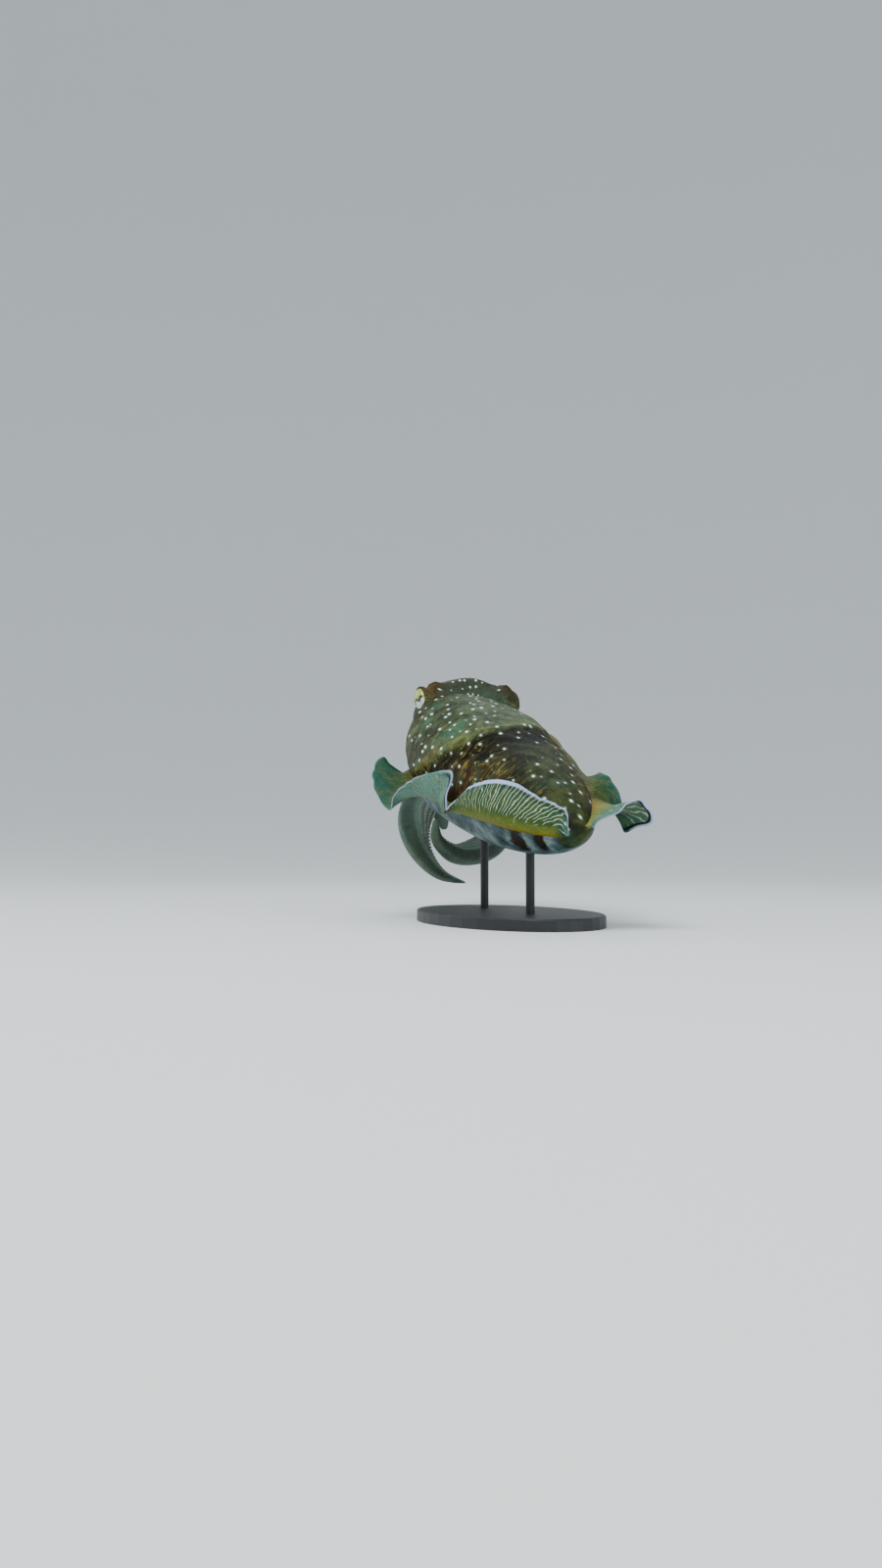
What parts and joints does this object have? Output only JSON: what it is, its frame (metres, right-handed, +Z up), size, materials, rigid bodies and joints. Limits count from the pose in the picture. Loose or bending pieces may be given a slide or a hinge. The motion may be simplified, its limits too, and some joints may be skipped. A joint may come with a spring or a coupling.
{
  "type": "broadclub cuttlefish museum model",
  "caption": "Life-size broadclub cuttlefish hovering tail-on, banked, with rippled fins and drooping suckered arms, on a plain oval stand with rods.",
  "frame": {"origin": "centre of the underside of the stand's base plate", "axes": "+X the way the animal faces, +Y its left, +Z up; the body is pitched nose up and banked left side down as in the picture"},
  "size_m": [0.5114, 0.2295, 0.2882],
  "materials": {
    "skin": "moist satin skin, dark olive brown",
    "fin": "thin moist fin membrane, yellow green",
    "arm": "moist satin skin, grey green",
    "eye": "wet gloss",
    "steel": "satin black paint"
  },
  "bodies": {
    "root": {"arm_left_1_base": "arm", "arm_left_1_tip": "arm", "arm_left_2_base": "arm", "arm_left_2_tip": "arm", "arm_left_3_base": "arm", "arm_left_3_tip": "arm", "arm_left_4_base": "arm", "arm_left_4_tip": "arm", "arm_right_1_base": "arm", "arm_right_1_tip": "arm", "arm_right_2_base": "arm", "arm_right_2_tip": "arm", "arm_right_3_base": "arm", "arm_right_3_tip": "arm", "arm_right_4_base": "arm", "arm_right_4_tip": "arm", "eye_left": "eye", "eye_right": "eye", "fin_left_1": "fin", "fin_left_2": "fin", "fin_left_3": "fin", "fin_right_1": "fin", "fin_right_2": "fin", "fin_right_3": "fin", "funnel": "skin", "head": "skin", "mantle": "skin", "stand_base": "steel", "stand_rod_1": "steel", "stand_rod_2": "steel"}
  },
  "joints": []
}
